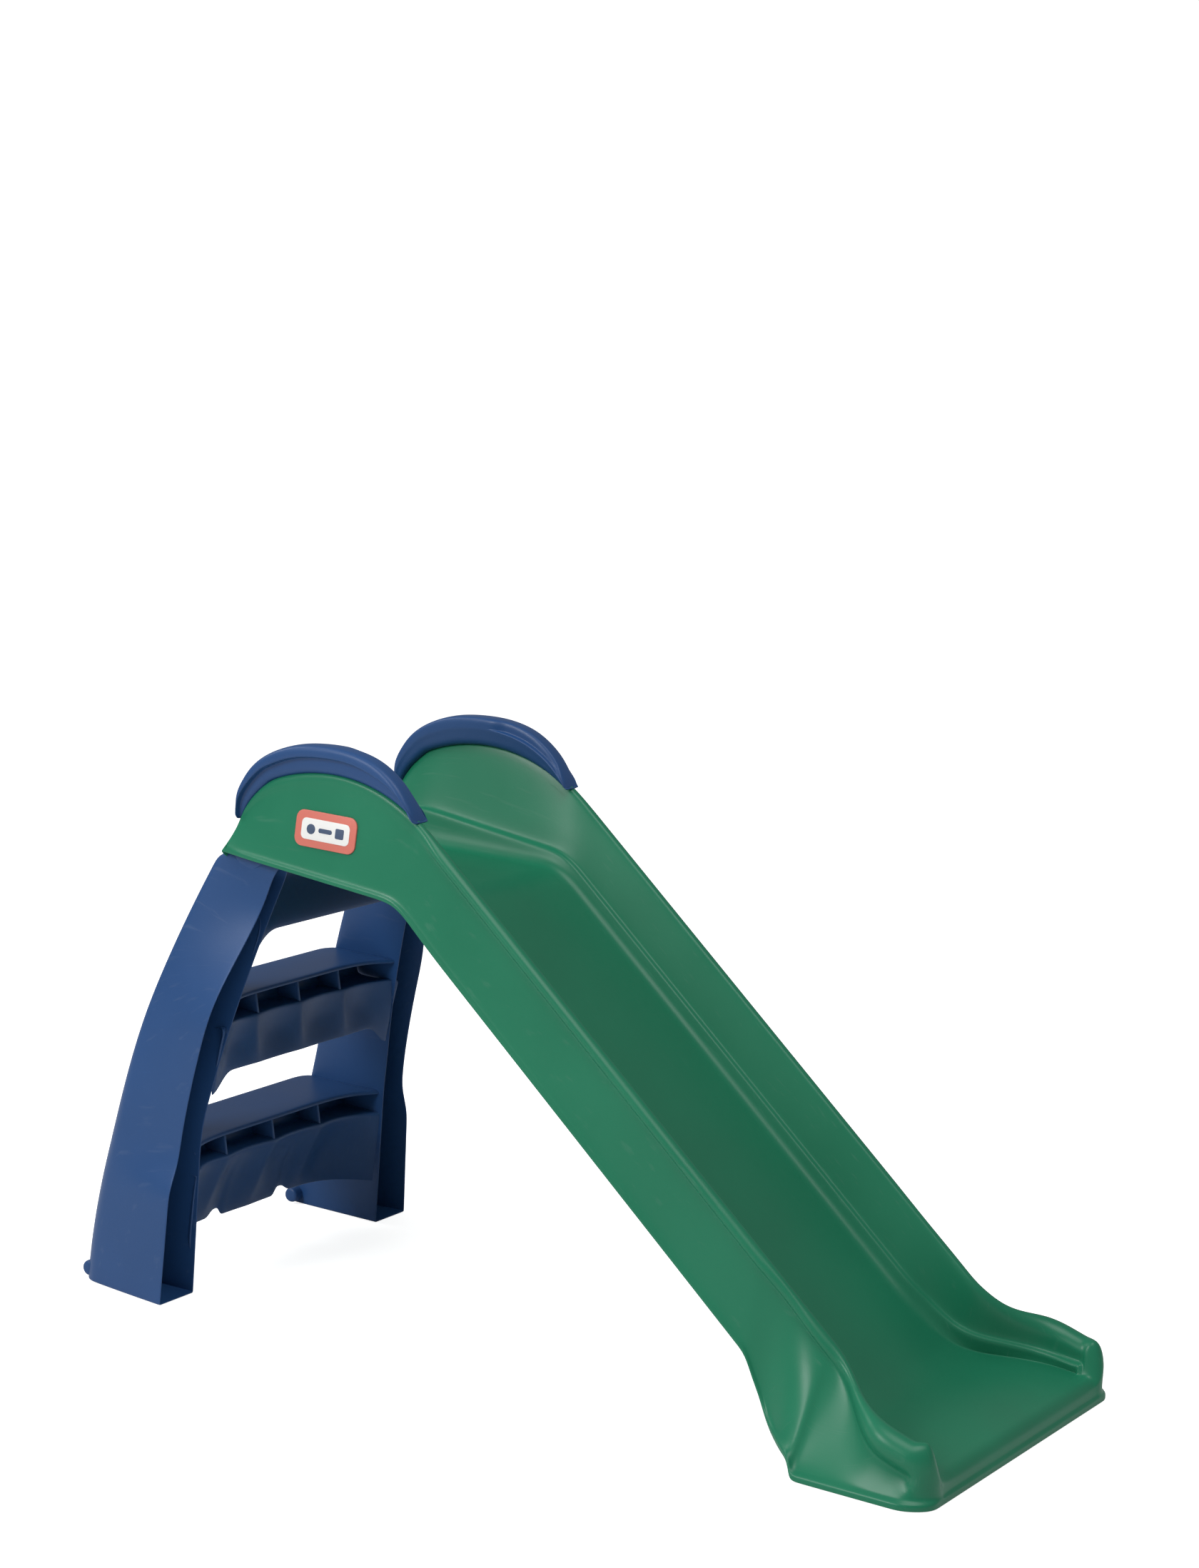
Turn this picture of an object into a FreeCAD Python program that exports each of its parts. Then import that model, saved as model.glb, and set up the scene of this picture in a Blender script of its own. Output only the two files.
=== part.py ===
import FreeCAD, Part
import math
import os

# Toddler's first slide, in millimetres, standing open on the floor.
# +Z up, the exit towards +X, the ladder towards -X, symmetric about the XZ plane.
# The origin is the bottom centre of the whole slide's bounding box.

V = FreeCAD.Vector
os.makedirs("parts", exist_ok=True)

# ---- overall sizes -------------------------------------------------------------
overall_length = 965.0
platform_height = 441.0
incline_angle = 40.0

# ---- the chute -----------------------------------------------------------------
skin = 3.2                      # wall of the moulding
bed_half_width = 98.0           # flat of the bed, on the incline
ledge_half_width = 112.0        # inner edge of the small ledge on the inner wall
ledge_width = 6.0
ledge_height = 17.0             # ledge above the bed, straight up
ledge_rise = 0.125              # climb of the ledge towards the back of the platform
rim_half_width = 140.5          # middle of the side's top
rim_width = 13.0
rim_height = 73.0               # rim above the bed, straight up
side_drop = 24.5                # outer wall's lower edge below the bed, straight up
side_half_width = 154.0         # outer wall at its lower edge
side_draft = 0.10               # lean of the outer wall, per millimetre of height
bead_overhang = 3.5             # rim bead proud of the outer wall
bead_depth = 15.0
platform_back = -366.0          # back edge of the bed
platform_front = -134.5         # where the platform's and the incline's planes cross
platform_bend = 62.0            # radius between them
arch_radius = 181.0             # top of the sides, around the handrails
back_foot = (-372.0, 451.0)     # lower back corner of the sides
back_shoulder = (-353.0, 487.5) # where their back corner starts to round
back_corner = 30.0

# ---- the exit ------------------------------------------------------------------
exit_height = 36.0              # pan above the floor, where the run-out ends
exit_fall = 0.10                # slope of the pan towards its lip
exit_bend = 95.0                # radius of the run-out
pan_half_width = 178.0          # flat of the bed at the exit
exit_rim_half_width = 193.0     # middle of the rim at the exit
exit_rim_height = 57.0          # rim at the nose
exit_rim_slope = 0.33
nose_x = 470.0                  # where the rim's end turns down
flare_start = 355.0
flare_end = 445.0
base_half_width = 213.5         # base bead
base_back = 347.0
base_corner = 18.0
base_height = 9.0
base_width = 11.0
skirt_start = 262.0

# ---- the ladder ----------------------------------------------------------------
panel = 3.4                     # wall of the moulding
rail_front_foot = -367.7
rail_front_top = -306.0
rail_back_foot = -481.0
rail_back_top = -380.0
rail_top = 450.0                # height where the rails go into the sides
rail_bend_start = 150.0         # below it the rails' front edge is straight
rail_outer_foot = 205.5         # outer wall at its front edge
rail_outer_lean = 0.05
rail_outer_top = 145.6
shoulder_start = 285.0
shoulder_end = 420.0
rail_inner_foot = 162.0
rail_inner_top = 118.0
inner_bend_start = 180.0
rail_outer_back = 206.0         # outer wall at its back edge, at the foot
rail_back_narrowing = 1.75      # how late the back edge draws in on its way up
foot_bulge = 12.0
foot_bulge_top = 108.0
foot_bulge_ramp = 45.0
rail_corner = (24.0, 7.0)       # rounded outer back edge, at the foot and at the top
heel_radius = 10.0
heel_inner = 130.0              # inner end of the heel bead
tread_heights = (147.5, 300.5)
tread_setback = 28.0            # tread's front edge behind the rails' front edge
tread_thickness = 4.0
nosing = 9.0                    # tread's back edge behind the rails
pocket_height = 18.0            # open pockets below the treads' front edge
pocket_depth = 26.0
pocket_ribs = 3
rib_thickness = 3.0
riser_heights = (113.0, 74.0)   # from the tread down to the riser's lower edge
crosspiece_bottom = 374.0
crosspiece_top = 425.0

# ---- hinge ---------------------------------------------------------------------
pivot = (-339.0, 462.0)
pin_radius = 4.0
pin_play = 0.1
ear_radius = 20.0
ear_inner = 130.0
ear_outer = 146.0
cheek_top = 458.0               # outer wall of the rails, up inside the sides
cheek_play = 0.6                # cheeks rest against the sides' back wall when open
boss_radius = 9.0
side_play = 0.6                 # each side of an ear
pin_bite = 2.0                  # pin's end inside each boss

# ---- handrails, screws and badges ----------------------------------------------
handrail_height = 35.0          # above the arch
handrail_web = (129.0, 145.0)
handrail_rim = (125.0, 152.0)
handrail_rim_depth = 12.0
screw_places = (-312.0, -188.0)
screw_radius = 1.5
screw_head_radius = 2.4
screw_head_height = 2.0
screw_depth = 16.0
badge_centre = (-246.0, 495.0)
badge_length = 74.0
badge_width = 38.0
badge_thickness = 2.0
badge_corner = 9.0


# ---- curves in the side view ---------------------------------------------------
slope = math.tan(math.radians(incline_angle))
half_length = overall_length / 2


def smooth(value, start, end):
    """0 before start, 1 after end, and a soft S between."""
    share = min(1.0, max(0.0, (value - start) / (end - start)))
    return share * share * (3 - 2 * share)


def rounded_corner(x, corner_x, slope_before, slope_after, radius):
    """Height, above the first line, of two lines joined by an arc (here a parabola)."""
    reach = radius * abs(math.sin(math.atan(slope_after) - math.atan(slope_before))) / 2
    start = corner_x - reach
    end = corner_x + reach
    if x <= start:
        return 0.0
    change = slope_after - slope_before
    if x >= end:
        return change * (x - corner_x)
    return change * (x - start) ** 2 / (2 * (end - start))


run_out_x = platform_front + (platform_height - exit_height) / slope


def bed_z(x):
    bend = rounded_corner(x, platform_front, 0.0, -slope, platform_bend)
    run_out = rounded_corner(x, run_out_x, -slope, -exit_fall, exit_bend)
    return platform_height + bend + run_out


def arch_centre():
    """The arch's centre: its circle runs into the rim's straight line."""
    angle = math.radians(incline_angle)
    touch_x = platform_front + 6.0
    touch_z = platform_height - slope * 6.0 + rim_height
    return (touch_x - arch_radius * math.sin(angle), touch_z - arch_radius * math.cos(angle))


arch = arch_centre()


def rim_z(x):
    line = platform_height - slope * (x - platform_front) + rim_height
    if x < platform_front + 6.0:
        across = x - arch[0]
        line = arch[1] + math.sqrt(arch_radius ** 2 - across ** 2)
    nose = exit_rim_height + exit_rim_slope * (nose_x - x)
    turn_x = nose_x - 82.0
    if x > turn_x - 25.0:
        share = smooth(x, turn_x - 25.0, turn_x + 25.0)
        line = (1 - share) * line + share * nose
    return line


def side_bottom_z(x):
    back = platform_height + 3.0 - 0.085 * (x + 222.0)
    line = platform_height - slope * (x - platform_front) - side_drop
    corner = platform_front - 22.0
    height = back + rounded_corner(x, corner, -0.085, -slope, 55.0)
    height = height if x < corner else min(height, line + 60.0)
    blend = smooth(x, corner - 10.0, corner + 60.0)
    height = (1 - blend) * height + blend * line
    if x > skirt_start:
        height = max(base_height - 1.0, line - 44.0 * smooth(x, skirt_start, skirt_start + 55.0))
    return height


def flare(x):
    return smooth(x, flare_start, flare_end)


def rim_y(x):
    return rim_half_width + (exit_rim_half_width - rim_half_width) * flare(x)


def bed_y(x):
    return bed_half_width + (pan_half_width - bed_half_width) * smooth(x, 285.0, flare_end)


def side_y(x):
    wide = base_half_width - base_width / 2
    return side_half_width + (wide - side_half_width) * smooth(x, skirt_start + 20.0, base_back + 12.0)


# ---- small helpers -------------------------------------------------------------
def section_wire(x, points, side):
    """A closed wire in the plane at x, from (width, height) pairs, on one side."""
    corners = [V(x, side * y, z) for y, z in points]
    return Part.makePolygon(corners + corners[:1])


def level_wire(z, points, side):
    corners = [V(x, side * y, z) for x, y in points]
    return Part.makePolygon(corners + corners[:1])


def loft(wires):
    return Part.makeLoft(wires, True, True)


def slab(outline, y_low, y_high):
    """A prism along Y from an outline of (x, z) pairs."""
    corners = [V(x, y_low, z) for x, z in outline]
    face = Part.Face(Part.makePolygon(corners + corners[:1]))
    return face.extrude(V(0, y_high - y_low, 0))


def rod(x, z, radius, y_low, y_high):
    return Part.makeCylinder(radius, y_high - y_low, V(x, y_low, z), V(0, 1, 0))


def span(side, inner, outer):
    """Lowest and highest y of a stretch given by its distances from the middle."""
    return (inner, outer) if side > 0 else (-outer, -inner)


def largest(shape):
    """The one solid that counts, without slivers left by a cut."""
    return max(shape.Solids, key=lambda solid: solid.Volume)


def save(name, shape):
    shape.exportStep("parts/" + name + ".step")


# ---- chute: bed, two sides and the exit's base bead, all of one moulding ----------
bed_stations = [platform_back, -250.0, -165.0, -150.0, -134.5, -119.0, -104.0, 80.0, 262.0, 285.0,
                302.0, 320.0, 338.0, 356.0, 374.0, 392.0, 410.0, 428.0, 450.0, nose_x]
side_stations = [-388.0, -372.0, -350.0, -330.0, -300.0, -270.0, -240.0, -210.0, -185.0, -165.0,
                 -150.0, -134.5, -119.0, -104.0, -80.0, 80.0, 262.0, 275.0, 290.0, 305.0, 320.0,
                 338.0, 356.0, 374.0, 392.0, 410.0, 428.0, 450.0, nose_x]


def make_bed():
    wires = []
    for x in bed_stations:
        y, z = bed_y(x), bed_z(x)
        wires.append(section_wire(x, [(-y, z), (y, z), (y, z - skin), (-y, z - skin)], 1))
    shape = loft(wires)
    lip = slab([(platform_back, platform_height), (platform_back + skin, platform_height),
                (platform_back + skin, platform_height - 9), (platform_back, platform_height - 9)],
               -bed_half_width, bed_half_width)
    return shape.fuse(lip).removeSplitter()


def outer_face_y(x, z):
    """Half-width of the outer wall at a height: widest at its lower edge."""
    bottom = side_bottom_z(x)
    top = rim_z(x) - bead_depth
    upper = min(side_half_width - side_draft * (top - bottom), rim_y(x) + 6.0)
    upper = rim_y(x) + 5.0 if x > flare_start - 60.0 else upper
    share = (z - bottom) / (top - bottom)
    return side_y(x) + (upper - side_y(x)) * share


def bead(x):
    """How far the rim's bead stands out: none around the handrails."""
    return bead_overhang * smooth(x, -140.0, -119.0)


def ledge_points(x):
    """The inner wall from the bed's edge up to the rim's inner edge."""
    y, z = bed_y(x), bed_z(x)
    room = ledge_half_width - bed_half_width
    rise = ledge_height + ledge_rise * max(0.0, -150.0 - x)
    wide = rim_y(x) - rim_width / 2
    rise = rise * (1 - 0.45 * flare(x))
    room = min(room, (wide - ledge_width - y) * 0.6)
    return [(y, z), (y + room * 0.5, z + rise * 0.15), (y + room * 0.8, z + rise * 0.45),
            (y + room, z + rise), (y + room + ledge_width, z + rise + 1.5),
            (wide, rim_z(x) - 6.0)]


def side_outline(x):
    top = rim_z(x)
    bottom = side_bottom_z(x)
    neck = outer_face_y(x, top - bead_depth)
    proud = bead(x)
    outer = [(side_y(x), bottom), (neck, top - bead_depth), (neck + proud, top - bead_depth + 3),
             (neck + proud, top - 5), (rim_y(x) + 3, top), (rim_y(x) - 3, top)]
    inner = list(reversed(ledge_points(x)))
    return outer + inner + [(bed_y(x), bed_z(x) - skin)]


def side_hollow(x):
    top = rim_z(x)
    bottom = side_bottom_z(x)
    neck = outer_face_y(x, top - bead_depth)
    lean = (side_y(x) - neck) / (top - bead_depth - bottom)
    drop = min(bottom, bed_z(x)) - 60.0
    outer = [(side_y(x) - skin + lean * (bottom - drop), drop), (neck - skin, top - bead_depth),
             (neck - skin, top - 7), (rim_y(x) + 1, top - skin), (rim_y(x) - 1, top - skin)]
    points = ledge_points(x)
    inner = [(points[5][0] + skin, top - 8), (points[4][0] + skin - 0.6, points[4][1] - 1.0),
             (points[3][0] + skin, points[3][1] - 2.0), (points[2][0] + skin, points[2][1] - 1.0),
             (points[1][0] + skin * 0.6, points[1][1] - skin),
             (points[0][0] + 0.3, points[0][1] - skin), (points[0][0] + 0.3, drop)]
    return outer + inner


def back_cutter(inset):
    """Everything behind the sides' back edge, moved forward by inset."""
    foot_x, foot_z = back_foot[0] + inset, back_foot[1]
    shoulder_x, shoulder_z = back_shoulder[0] + inset, back_shoulder[1]
    lean = (shoulder_x - foot_x) / (shoulder_z - foot_z)
    low_x = foot_x - lean * (foot_z - 300.0)
    crown_x = shoulder_x + back_corner * 0.9
    crown_z = arch[1] + math.sqrt(arch_radius ** 2 - (crown_x - arch[0]) ** 2) - inset
    middle = V(shoulder_x + back_corner * 0.34, 0, shoulder_z + (crown_z - shoulder_z) * 0.66)
    corner = Part.Arc(V(shoulder_x, 0, shoulder_z), middle, V(crown_x, 0, crown_z)).toShape()
    path = [V(crown_x, 0, crown_z), V(crown_x, 0, 700), V(-460, 0, 700), V(-460, 0, 300),
            V(low_x, 0, 300), V(shoulder_x, 0, shoulder_z)]
    wire = Part.Wire([corner] + Part.makePolygon(path).Edges)
    solid = Part.Face(wire).extrude(V(0, 400, 0))
    solid.translate(V(0, -200, 0))
    return solid


def pivot_bosses(side):
    """A boss on each wall, blind, with the bore that holds the pin's end."""
    x, z = pivot
    outer_wall = outer_face_y(x, z)
    inner_wall = ledge_half_width - 0.7
    bosses = []
    for low, high in ((inner_wall, ear_inner - side_play), (ear_outer + side_play, outer_wall - 1.0)):
        bosses.append(rod(x, z, boss_radius, *span(side, low, high)))
    bore = rod(x, z, pin_radius, *span(side, ear_inner - side_play - 4.0, ear_outer + side_play + pin_bite))
    return bosses, bore


def make_side(side, bed, lip):
    outer = loft([section_wire(x, side_outline(x), side) for x in side_stations])
    hollow_stations = side_stations[:-1] + [nose_x - skin]
    hollow = loft([section_wire(x, side_hollow(x), side) for x in hollow_stations])
    outer = outer.cut(back_cutter(0.0))
    hollow = hollow.cut(back_cutter(skin))
    shape = outer.cut(hollow)
    bosses, bore = pivot_bosses(side)
    shape = shape.fuse(bosses)
    shape = shape.cut(bore)
    for screw in handrail_screws(side):
        shape = shape.cut(screw)
    return largest(shape.cut([bed, lip]))


def exit_plan(half_width, back, front, corner):
    """The exit's plan outline, open at the back, as corner points with rounded front corners."""
    points = [(back, -half_width), (front - corner, -half_width)]
    for step in range(1, 6):
        angle = math.radians(90 - 15 * step)
        points.append((front - corner + corner * math.cos(angle),
                       -half_width + corner - corner * math.sin(angle)))
    points.append((front, -half_width + corner))
    return points + [(x, -y) for x, y in reversed(points)]


def make_exit_lip():
    """Base bead around the exit on three sides, with the lip that drops to it in front."""
    outer = exit_plan(base_half_width, base_back, half_length, base_corner)
    inner = exit_plan(base_half_width - base_width, base_back, half_length - base_width,
                      base_corner - base_width)
    ring = [V(x, y, 0) for x, y in outer + list(reversed(inner))]
    shape = Part.Face(Part.makePolygon(ring + ring[:1])).extrude(V(0, 0, base_height))
    pan_z = bed_z(nose_x)
    front = half_length - base_width
    profile = [(nose_x, pan_z), (nose_x + 4, pan_z - 3), (half_length - 4, pan_z - 14),
               (half_length - 3, base_height), (front, base_height), (front, pan_z - 14),
               (nose_x, pan_z - skin)]
    lip = slab(profile, -pan_half_width, pan_half_width)
    columns = []
    for side in (-1, 1):
        low, high = span(side, pan_half_width, exit_rim_half_width + 6)
        column = [(nose_x, exit_rim_height - 1), (nose_x + 5, exit_rim_height - 8),
                  (half_length - 4, exit_rim_height - 26), (half_length - 3, base_height),
                  (nose_x, base_height)]
        columns.append(slab(column, low, high))
    return shape.fuse([lip] + columns)


# ---- handrails, screws and badges ------------------------------------------------
def handrail_curve(inset):
    """The handrail's outer arch in the side view, drawn in towards the arch's centre."""
    apex = arch[1] + arch_radius + handrail_height
    knots = [(-359.0, 496.0), (-362.0, 515.0), (-343.0, 551.0), (-300.0, apex - 8.0), (-248.0, apex),
             (-199.0, apex - 6.0), (-166.0, 557.0), (-142.0, 519.0)]
    points = []
    for x, z in knots:
        reach = math.hypot(x - arch[0], z - arch[1])
        share = (reach - inset) / reach
        points.append(V(arch[0] + (x - arch[0]) * share, 0, arch[1] + (z - arch[1]) * share))
    curve = Part.BSplineCurve()
    curve.interpolate(points)
    return curve.toShape(), points[0], points[-1]


def sides_top(back, front):
    """The sides' top, from the handrail's front end to its back end."""
    ends = []
    for x in (front.x - 4.0, back_shoulder[0] + back_corner * 0.9):
        ends.append(V(x, 0, arch[1] + math.sqrt(arch_radius ** 2 - (x - arch[0]) ** 2)))
    middle = V(arch[0], 0, arch[1] + arch_radius)
    shoulder = V(back_shoulder[0], 0, back_shoulder[1])
    edges = Part.makePolygon([front, ends[0]]).Edges
    edges.append(Part.Arc(ends[0], middle, ends[1]).toShape())
    return edges + Part.makePolygon([ends[1], shoulder, back]).Edges


def prism(face, side, width):
    """A face in the XZ plane made into a prism between two distances from the middle."""
    low, high = span(side, *width)
    solid = face.extrude(V(0, high - low, 0))
    solid.translate(V(0, low, 0))
    return solid


def make_handrail(side, moulding):
    """A web standing on the side's top, with a wider rim along its outer edge."""
    outer, back, front = handrail_curve(0.0)
    face = Part.Face(Part.Wire([outer] + sides_top(back, front)))
    inner, inner_back, inner_front = handrail_curve(handrail_rim_depth)
    below = [inner_front, V(inner_front.x, 0, arch[1]), V(inner_back.x, 0, arch[1]), inner_back]
    core = Part.Face(Part.Wire([inner] + Part.makePolygon(below).Edges))
    rim = prism(face, side, handrail_rim).cut(prism(core, side, (0.0, 200.0)))
    shape = prism(face, side, handrail_web).fuse(rim).removeSplitter()
    for screw in handrail_screws(side):
        shape = shape.cut(screw)
    return largest(shape.cut(moulding))


def handrail_screws(side):
    """Two screws, driven up from inside the hollow side into the handrail."""
    screws = []
    y = side * (rim_half_width - 0.8)
    for x in screw_places:
        under = rim_z(x) - skin - 5.0
        head = Part.makeCylinder(screw_head_radius, screw_head_height, V(x, y, under - screw_head_height))
        shank = Part.makeCylinder(screw_radius, screw_depth + skin, V(x, y, under))
        screws.append(head.fuse(shank))
    return screws


def make_badge(side):
    """Raised label on the outer wall, lying against its draft."""
    x, z = badge_centre
    half_long, half_wide = badge_length / 2, badge_width / 2
    outline = [(x - half_long, z - half_wide), (x + half_long, z - half_wide),
               (x + half_long, z + half_wide), (x - half_long, z + half_wide)]
    shape = slab(outline, 0, badge_thickness + 0.4)
    upright = [edge for edge in shape.Edges if abs(edge.Vertexes[0].Y - edge.Vertexes[1].Y) > 1]
    shape = shape.makeFillet(badge_corner, upright)
    if side < 0:
        shape.translate(V(0, -badge_thickness - 0.4, 0))
    y = outer_face_y(x, z)
    lean = math.degrees(math.atan((outer_face_y(x, z - 10) - outer_face_y(x, z + 10)) / 20))
    shape.rotate(V(x, 0, z), V(1, 0, 0), side * lean)
    shape.translate(V(0, side * (y - 0.4), 0))
    return shape


def make_pin(side):
    low, high = span(side, ear_inner - side_play - 4.0, ear_outer + side_play + pin_bite)
    return rod(*pivot, pin_radius, low, high)


# ---- ladder --------------------------------------------------------------------
rail_levels = [0.0, 20.0, 60.0, 100.0, 115.0, 130.0, 145.0, 165.0, 185.0, 215.0, 250.0, 280.0, 305.0,
               330.0, 350.0, 370.0, 390.0, 408.0, 426.0]


def rail_front(z):
    rise = max(0.0, z - rail_bend_start) / (rail_top - rail_bend_start)
    return rail_front_foot + (rail_front_top - rail_front_foot) * rise ** 1.45


def rail_back(z):
    return rail_back_foot + (rail_back_top - rail_back_foot) * (z / rail_top) ** 1.75


def rail_outer(z):
    straight = rail_outer_foot - rail_outer_lean * z
    top = rail_outer_foot - rail_outer_lean * shoulder_end
    shoulder = (top - rail_outer_top) * smooth(z, shoulder_start, shoulder_end)
    bulge = foot_bulge * (1 - smooth(z, foot_bulge_top, foot_bulge_top + foot_bulge_ramp))
    return straight - shoulder + bulge


def rail_outer_rear(z):
    """Half-width at the back edge: one smooth curve, without the front edge's foot and shoulder."""
    draw_in = (rail_outer_back - rail_outer_top) * (z / rail_top) ** rail_back_narrowing
    return rail_outer_back - draw_in


def rail_inner(z):
    rise = max(0.0, z - inner_bend_start) / (rail_top - inner_bend_start)
    return rail_inner_foot - (rail_inner_foot - rail_inner_top) * rise


def back_rounding(z):
    return rail_corner[0] + (rail_corner[1] - rail_corner[0]) * smooth(z, 130.0, 310.0)


def rail_outline(z, inset):
    """Plan outline of a rail at a height; inset gives the channel inside it."""
    front = rail_front(z) + (40.0 if inset else 0.0)
    back = rail_back(z) + inset
    outer_front = rail_outer(z) - inset
    outer = rail_outer_rear(z) - inset
    inner = rail_inner(z) + inset
    corner = back_rounding(z) - inset * 0.5
    if inset:
        outer_front += (outer_front - outer) * 40.0 / (front - back)
    points = [(front, outer_front), (back + corner, outer)]
    for degrees in (30, 60):
        angle = math.radians(degrees)
        points.append((back + corner - corner * math.sin(angle), outer - corner + corner * math.cos(angle)))
    return points + [(back, outer - corner), (back, inner), (front, inner)]


def make_rail(side):
    body = loft([level_wire(z, rail_outline(z, 0.0), side) for z in rail_levels])
    channel_levels = [panel] + rail_levels[1:-1] + [rail_levels[-1] - panel]
    channel = loft([level_wire(z, rail_outline(z, panel), side) for z in channel_levels])
    shape = body.cut(channel)
    heel_x = heel_radius - half_length
    heel = rod(heel_x, heel_radius + 3.0, heel_radius, *span(side, heel_inner, rail_outer(20.0) - 8.0))
    top = rail_levels[-1]
    lean = (back_shoulder[0] - back_foot[0]) / (back_shoulder[1] - back_foot[1])
    stop = back_foot[0] + skin + cheek_play
    cheek = [(rail_back(top) + rail_corner[1] * 0.4, top - panel), (rail_front(top), top - panel),
             (rail_front(cheek_top), cheek_top), (stop + lean * (cheek_top - back_foot[1]), cheek_top),
             (stop, back_foot[1] - 4.0), (stop - skin - 1.0, back_foot[1] - 5.0)]
    ear = [(rail_back(top) + 3, top - panel), (rail_front(top) - 3, top - panel)]
    for degrees in range(-5, 186, 10):
        angle = math.radians(degrees)
        ear.append((pivot[0] + ear_radius * math.cos(angle), pivot[1] + ear_radius * math.sin(angle)))
    shape = shape.fuse([heel, slab(ear, *span(side, ear_inner, ear_outer)),
                        slab(cheek, *span(side, ear_inner, rail_outer(cheek_top)))])
    bore = rod(*pivot, pin_radius + pin_play, *span(side, ear_inner - 5, ear_outer + 5))
    return shape.cut(bore)


def between_rails(outline, z):
    """A prism across the ladder, trimmed by the rails' inner faces."""
    wide = rail_inner_foot + 5.0
    shape = slab(outline, -wide, wide)
    wires = []
    for level in rail_levels:
        y = rail_inner(level)
        corners = [V(-600, -y, level), V(-200, -y, level), V(-200, y, level), V(-600, y, level)]
        wires.append(Part.makePolygon(corners + corners[:1]))
    return shape.common(loft(wires))


def make_step(tread_z, riser_height, slanted):
    """Tread with open pockets under its front edge, and the riser below them."""
    front = rail_front(tread_z) - tread_setback
    back = rail_back(tread_z) - nosing
    ledge_z = tread_z - pocket_height
    low_z = tread_z - riser_height
    low_front = rail_back(low_z) + 26.0 if slanted else rail_front(low_z) - 2.0
    ledge_front = front + 6.0
    tread = [(back, tread_z - 3), (back + 3, tread_z), (front, tread_z), (front, tread_z - tread_thickness),
             (back + 5, tread_z - tread_thickness), (back + 3, tread_z - 14), (back, tread_z - 14)]
    wall = [(front - pocket_depth, tread_z - tread_thickness), (front - pocket_depth + panel, tread_z
            - tread_thickness), (front - pocket_depth + panel, ledge_z), (ledge_front, ledge_z),
            (low_front, low_z), (low_front - panel, low_z), (ledge_front - panel - 2, ledge_z - panel),
            (front - pocket_depth, ledge_z - panel)]
    shape = between_rails(tread, tread_z).fuse(between_rails(wall, tread_z))
    gap = 2 * rail_inner(ledge_z) / (pocket_ribs + 1)
    rib_outline = [(front - pocket_depth + 1, ledge_z - 1), (ledge_front - 2, ledge_z - 1),
                   (front - 1, tread_z - 1), (front - pocket_depth + 1, tread_z - 1)]
    for number in range(pocket_ribs):
        y = (number - (pocket_ribs - 1) / 2) * gap
        shape = shape.fuse(slab(rib_outline, y - rib_thickness / 2, y + rib_thickness / 2))
    return shape.removeSplitter()


def make_crosspiece():
    """Plate between the rails' tops, leaning back so that it swings clear of the bed."""
    low, high = crosspiece_bottom, crosspiece_top
    low_x, high_x = rail_front(low) - 9.0, rail_front(high) - 46.0
    outline = [(low_x, low), (high_x, high), (rail_back(high) + 4, high),
               (rail_back(high) + 4, high - panel), (high_x - panel, high - panel), (low_x - panel, low)]
    return between_rails(outline, high)


# ---- write every node ------------------------------------------------------------
bed = make_bed()
lip = make_exit_lip()
save("slide_bed", bed)
save("slide_exit_lip", lip)
for name, side in (("left", 1), ("right", -1)):
    moulding = make_side(side, bed, lip)
    save("slide_side_" + name, moulding)
    save("handrail_" + name, make_handrail(side, moulding))
    save("badge_" + name, make_badge(side))
    save("pivot_pin_" + name, make_pin(side))
    save("ladder_rail_" + name, make_rail(side))
save("handrail_screws", Part.makeCompound(handrail_screws(1) + handrail_screws(-1)))
save("ladder_step_lower", make_step(tread_heights[0], riser_heights[0], True))
save("ladder_step_upper", make_step(tread_heights[1], riser_heights[1], False))
save("ladder_crosspiece", make_crosspiece())
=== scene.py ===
import bmesh
import bpy
import math
from mathutils import Matrix, Vector


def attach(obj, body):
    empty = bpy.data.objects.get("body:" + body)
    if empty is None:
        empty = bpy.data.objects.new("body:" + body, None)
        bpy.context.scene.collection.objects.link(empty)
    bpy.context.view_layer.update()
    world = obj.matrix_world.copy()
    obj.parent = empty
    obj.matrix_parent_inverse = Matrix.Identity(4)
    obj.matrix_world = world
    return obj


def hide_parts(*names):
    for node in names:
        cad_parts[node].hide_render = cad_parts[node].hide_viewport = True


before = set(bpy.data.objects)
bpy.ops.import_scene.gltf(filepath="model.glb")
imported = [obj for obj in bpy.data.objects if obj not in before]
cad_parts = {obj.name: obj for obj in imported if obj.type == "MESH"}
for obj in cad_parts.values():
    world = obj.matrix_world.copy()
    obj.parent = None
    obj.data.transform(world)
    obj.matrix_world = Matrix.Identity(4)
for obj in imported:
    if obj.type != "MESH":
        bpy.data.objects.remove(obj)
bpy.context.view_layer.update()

# ---- Chute -----------------------------------------------------------------------
# One moulding of green polyethylene: bed, hollow sides, run-out and base bead are a
# single skin about 3 mm thick, open underneath. Drawn in millimetres, then scaled.
MM = 0.001
skin = 3.2                                # wall of the chute and the risers
incline = math.radians(40.0)
slope = math.tan(incline)
platform_z, platform_front = 441.0, -134.5
exit_z, exit_fall = 36.0, 0.10
run_out_x = platform_front + (platform_z - exit_z) / slope
arch_radius = 181.0
side_height = 73.0                        # of the sides above the bed
touch_x, touch_z = platform_front + 6.0, platform_z - slope * 6.0 + side_height
arch_x = touch_x - arch_radius * math.sin(incline)
arch_z = touch_z - arch_radius * math.cos(incline)
pan_corner = Vector((455.0, 168.0))       # axis that the rim turns about at the exit
base_start = 347.0                        # where the base bead begins
crown_number = 11                         # the rim's top in a side's profile


def ease(value, start, end):
    share = min(1.0, max(0.0, (value - start) / (end - start)))
    return share * share * (3.0 - 2.0 * share)


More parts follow.
